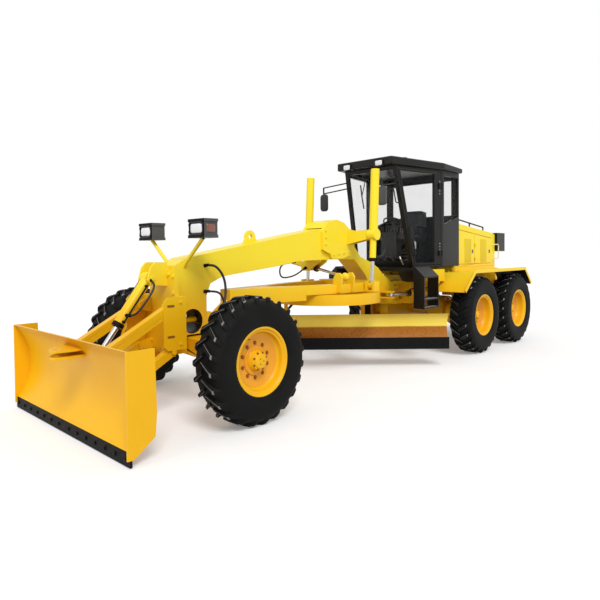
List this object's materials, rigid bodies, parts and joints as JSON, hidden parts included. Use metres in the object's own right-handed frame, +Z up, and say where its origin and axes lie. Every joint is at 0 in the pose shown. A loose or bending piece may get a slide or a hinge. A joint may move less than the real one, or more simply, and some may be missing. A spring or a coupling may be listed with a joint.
{
  "type": "motor grader",
  "caption": "Six-wheeled road grader with an arched articulated frame, slewing main blade, six-sided cab, tandem rear axle and a front dozer blade on parallel arms.",
  "frame": {"origin": "on the ground under the middle of the machine's box", "axes": "+X forward, +Y to the driver's left, +Z up"},
  "size_m": [9.455, 2.7648, 3.52],
  "materials": {
    "yellow_paint": "gloss",
    "black_paint": "semi-gloss",
    "black_plastic": "matte",
    "tyre": "matte",
    "glass": "clear",
    "chrome": "polished",
    "edge_steel": "satin",
    "engine": "rough"
  },
  "bodies": {
    "rear_frame": {"rear_frame": "yellow_paint", "rear_axle": "yellow_paint", "engine_block": "engine", "hood": "yellow_paint", "fenders": "yellow_paint", "steps": "black_paint", "hood_guards": "black_paint", "cab_shell": "black_paint", "cab_glass": "glass", "cab_roof": "black_paint", "cab_fittings": "black_plastic"},
    "front_frame": {"front_frame": "yellow_paint", "saddle": "yellow_paint", "headlamps": "black_plastic", "front_axle": "yellow_paint"},
    "knuckle_left": {"knuckle_left": "yellow_paint"},
    "front_wheel_left": {"front_tyre_left": "tyre", "front_rim_left": "yellow_paint"},
    "knuckle_right": {"knuckle_right": "yellow_paint"},
    "front_wheel_right": {"front_tyre_right": "tyre", "front_rim_right": "yellow_paint"},
    "tie_rod": {"tie_rod": "yellow_paint"},
    "middle_wheel_left": {"middle_tyre_left": "tyre", "middle_rim_left": "yellow_paint"},
    "middle_wheel_right": {"middle_tyre_right": "tyre", "middle_rim_right": "yellow_paint"},
    "rear_wheel_left": {"rear_tyre_left": "tyre", "rear_rim_left": "yellow_paint"},
    "rear_wheel_right": {"rear_tyre_right": "tyre", "rear_rim_right": "yellow_paint"},
    "drawbar": {"drawbar": "yellow_paint"},
    "lift_barrel_left": {"lift_barrel_left": "yellow_paint"},
    "lift_rod_left": {"lift_rod_left": "chrome"},
    "lift_barrel_right": {"lift_barrel_right": "yellow_paint"},
    "lift_rod_right": {"lift_rod_right": "chrome"},
    "circle": {"circle": "yellow_paint"},
    "blade_carrier": {"blade_carrier": "yellow_paint"},
    "moldboard": {"moldboard": "yellow_paint", "cutting_edge": "edge_steel"},
    "shift_barrel": {"shift_barrel": "yellow_paint"},
    "shift_rod": {"shift_rod": "chrome"},
    "artic_barrel_left": {"artic_barrel_left": "yellow_paint"},
    "artic_rod_left": {"artic_rod_left": "chrome"},
    "artic_barrel_right": {"artic_barrel_right": "yellow_paint"},
    "artic_rod_right": {"artic_rod_right": "chrome"},
    "dozer_upper_arms": {"dozer_upper_arms": "yellow_paint"},
    "dozer_lower_arms": {"dozer_lower_arms": "yellow_paint"},
    "dozer_blade": {"dozer_blade": "yellow_paint", "dozer_edge": "edge_steel"},
    "dozer_barrel": {"dozer_barrel": "yellow_paint"},
    "dozer_rod": {"dozer_rod": "chrome"},
    "cab_door_left": {"cab_door_left": "black_paint", "cab_door_glass_left": "glass"},
    "hood_door_front_left": {"hood_door_front_left": "yellow_paint"},
    "hood_door_rear_left": {"hood_door_rear_left": "yellow_paint"},
    "cab_door_right": {"cab_door_right": "black_paint", "cab_door_glass_right": "glass"},
    "hood_door_front_right": {"hood_door_front_right": "yellow_paint"},
    "hood_door_rear_right": {"hood_door_rear_right": "yellow_paint"}
  },
  "joints": [
    {"name": "articulation", "type": "hinge", "parent": "rear_frame", "child": "front_frame", "pos_m": [-1.45, 0, 1.08], "axis": [0, 0, 1], "range_deg": [-25, 25]},
    {"name": "steer_left", "type": "hinge", "parent": "front_frame", "child": "knuckle_left", "pos_m": [3, 0.86, 0.674], "axis": [0, 0, 1], "range_deg": [-45, 45]},
    {"name": "front_wheel_spin_left", "type": "hinge", "parent": "knuckle_left", "child": "front_wheel_left", "pos_m": [3, 1.14, 0.674], "axis": [0, 1, 0], "continuous": true},
    {"name": "steer_right", "type": "hinge", "parent": "front_frame", "child": "knuckle_right", "pos_m": [3, -0.86, 0.674], "axis": [0, 0, 1], "range_deg": [-45, 45]},
    {"name": "front_wheel_spin_right", "type": "hinge", "parent": "knuckle_right", "child": "front_wheel_right", "pos_m": [3, -1.14, 0.674], "axis": [0, 1, 0], "continuous": true},
    {"name": "tie_rod_swing", "type": "hinge", "parent": "knuckle_left", "child": "tie_rod", "pos_m": [2.67, 0.69, 0.515], "axis": [0, 0, 1], "range_deg": [-45, 45]},
    {"name": "middle_wheel_spin_left", "type": "hinge", "parent": "rear_frame", "child": "middle_wheel_left", "pos_m": [-2.445, 1.07, 0.674], "axis": [0, 1, 0], "continuous": true},
    {"name": "middle_wheel_spin_right", "type": "hinge", "parent": "rear_frame", "child": "middle_wheel_right", "pos_m": [-2.445, -1.07, 0.674], "axis": [0, 1, 0], "continuous": true},
    {"name": "rear_wheel_spin_left", "type": "hinge", "parent": "rear_frame", "child": "rear_wheel_left", "pos_m": [-3.995, 1.07, 0.674], "axis": [0, 1, 0], "continuous": true},
    {"name": "rear_wheel_spin_right", "type": "hinge", "parent": "rear_frame", "child": "rear_wheel_right", "pos_m": [-3.995, -1.07, 0.674], "axis": [0, 1, 0], "continuous": true},
    {"name": "drawbar_lift", "type": "hinge", "parent": "front_frame", "child": "drawbar", "pos_m": [2.65, 0, 0.96], "axis": [0, 1, 0], "range_deg": [-19, 4.2]},
    {"name": "lift_barrel_swing_left", "type": "hinge", "parent": "front_frame", "child": "lift_barrel_left", "pos_m": [0.05, 0.64, 2.055], "axis": [0, 1, 0], "range_deg": [-0.58, 2.52]},
    {"name": "lift_rod_slide_left", "type": "slide", "parent": "lift_barrel_left", "child": "lift_rod_left", "axis": [0.0587, 0, -0.9983], "range_m": [-0.189, 0.852]},
    {"name": "lift_barrel_swing_right", "type": "hinge", "parent": "front_frame", "child": "lift_barrel_right", "pos_m": [0.05, -0.64, 2.055], "axis": [0, 1, 0], "range_deg": [-0.58, 2.52]},
    {"name": "lift_rod_slide_right", "type": "slide", "parent": "lift_barrel_right", "child": "lift_rod_right", "axis": [0.0587, 0, -0.9983], "range_m": [-0.189, 0.852]},
    {"name": "circle_turn", "type": "hinge", "parent": "drawbar", "child": "circle", "pos_m": [0.38, 0, 1.195], "axis": [0, 0, 1], "continuous": true},
    {"name": "blade_tip", "type": "hinge", "parent": "circle", "child": "blade_carrier", "pos_m": [0.23151, -0.14849, 0.42], "axis": [-0.7071, 0.7071, 0], "range_deg": [-12, 28]},
    {"name": "blade_side_shift", "type": "slide", "parent": "blade_carrier", "child": "moldboard", "axis": [-0.7071, 0.7071, 0], "range_m": [-0.45, 0.45]},
    {"name": "shift_barrel_swing", "type": "hinge", "parent": "front_frame", "child": "shift_barrel", "pos_m": [0.6, -0.17, 1.59], "axis": [1, 0, 0], "range_deg": [-42.28, 9.37]},
    {"name": "shift_rod_slide", "type": "slide", "parent": "shift_barrel", "child": "shift_rod", "axis": [0, 0.9778, -0.2095], "range_m": [-0.075, 0.333]},
    {"name": "artic_barrel_swing_left", "type": "hinge", "parent": "rear_frame", "child": "artic_barrel_left", "pos_m": [-2.1, 0.5, 1.08], "axis": [0, 0, 1], "range_deg": [-10.25, 10.25]},
    {"name": "artic_rod_slide_left", "type": "slide", "parent": "artic_barrel_left", "child": "artic_rod_left", "axis": [0.9901, -0.1403, 0], "range_m": [-0.177, 0.177]},
    {"name": "artic_barrel_swing_right", "type": "hinge", "parent": "rear_frame", "child": "artic_barrel_right", "pos_m": [-2.1, -0.5, 1.08], "axis": [0, 0, 1], "range_deg": [-10.25, 10.25]},
    {"name": "artic_rod_slide_right", "type": "slide", "parent": "artic_barrel_right", "child": "artic_rod_right", "axis": [0.9901, 0.1403, 0], "range_m": [-0.177, 0.177]},
    {"name": "dozer_lift", "type": "hinge", "parent": "front_frame", "child": "dozer_upper_arms", "pos_m": [3.46, 0, 1.2], "axis": [0, -1, 0], "range_deg": [-6, 40]},
    {"name": "dozer_lower_arms_swing", "type": "hinge", "parent": "front_frame", "child": "dozer_lower_arms", "pos_m": [3.46, 0, 0.72], "axis": [0, -1, 0], "range_deg": [-6, 40]},
    {"name": "dozer_blade_level", "type": "hinge", "parent": "dozer_upper_arms", "child": "dozer_blade", "pos_m": [4.26, 0, 0.78], "axis": [0, -1, 0], "range_deg": [-40, 6]},
    {"name": "dozer_barrel_swing", "type": "hinge", "parent": "front_frame", "child": "dozer_barrel", "pos_m": [3.533, 0, 1.524], "axis": [0, -1, 0], "range_deg": [-4.66, 30.93]},
    {"name": "dozer_rod_slide", "type": "slide", "parent": "dozer_barrel", "child": "dozer_rod", "axis": [0.6106, 0, -0.7919], "range_m": [-0.301, 0.046]},
    {"name": "cab_door_left_hinge", "type": "hinge", "parent": "rear_frame", "child": "cab_door_left", "pos_m": [-1.84176, 0.7592, 2.3], "axis": [0, 0, 1], "range_deg": [0, 100]},
    {"name": "hood_door_front_left_hinge", "type": "hinge", "parent": "rear_frame", "child": "hood_door_front_left", "pos_m": [-2.572, 0.658, 1.8], "axis": [0, 0, -1], "range_deg": [0, 90]},
    {"name": "hood_door_rear_left_hinge", "type": "hinge", "parent": "rear_frame", "child": "hood_door_rear_left", "pos_m": [-3.362, 0.658, 1.8], "axis": [0, 0, -1], "range_deg": [0, 90]},
    {"name": "cab_door_right_hinge", "type": "hinge", "parent": "rear_frame", "child": "cab_door_right", "pos_m": [-1.84176, -0.7592, 2.3], "axis": [0, 0, -1], "range_deg": [0, 100]},
    {"name": "hood_door_front_right_hinge", "type": "hinge", "parent": "rear_frame", "child": "hood_door_front_right", "pos_m": [-2.572, -0.658, 1.8], "axis": [0, 0, 1], "range_deg": [0, 90]},
    {"name": "hood_door_rear_right_hinge", "type": "hinge", "parent": "rear_frame", "child": "hood_door_rear_right", "pos_m": [-3.362, -0.658, 1.8], "axis": [0, 0, 1], "range_deg": [0, 90]}
  ],
  "couplings": [
    {"joint": "steer_right", "follows": "steer_left", "ratio": 1},
    {"joint": "tie_rod_swing", "follows": "steer_left", "ratio": -1},
    {"joint": "lift_barrel_swing_left", "follows": "drawbar_lift", "ratio": -0.13151},
    {"joint": "lift_rod_slide_left", "follows": "drawbar_lift", "m_per_rad": -2.5644},
    {"joint": "lift_barrel_swing_right", "follows": "drawbar_lift", "ratio": -0.13151},
    {"joint": "lift_rod_slide_right", "follows": "drawbar_lift", "m_per_rad": -2.5644},
    {"joint": "shift_barrel_swing", "follows": "drawbar_lift", "ratio": 2.2239},
    {"joint": "shift_rod_slide", "follows": "drawbar_lift", "m_per_rad": -1.0007},
    {"joint": "artic_barrel_swing_left", "follows": "articulation", "ratio": 0.40906},
    {"joint": "artic_rod_slide_left", "follows": "articulation", "m_per_rad": -0.40172},
    {"joint": "artic_barrel_swing_right", "follows": "articulation", "ratio": 0.40906},
    {"joint": "artic_rod_slide_right", "follows": "articulation", "m_per_rad": 0.40172},
    {"joint": "dozer_lower_arms_swing", "follows": "dozer_lift", "ratio": 1},
    {"joint": "dozer_blade_level", "follows": "dozer_lift", "ratio": -1},
    {"joint": "dozer_barrel_swing", "follows": "dozer_lift", "ratio": 0.77265},
    {"joint": "dozer_rod_slide", "follows": "dozer_lift", "m_per_rad": -0.42887}
  ]
}
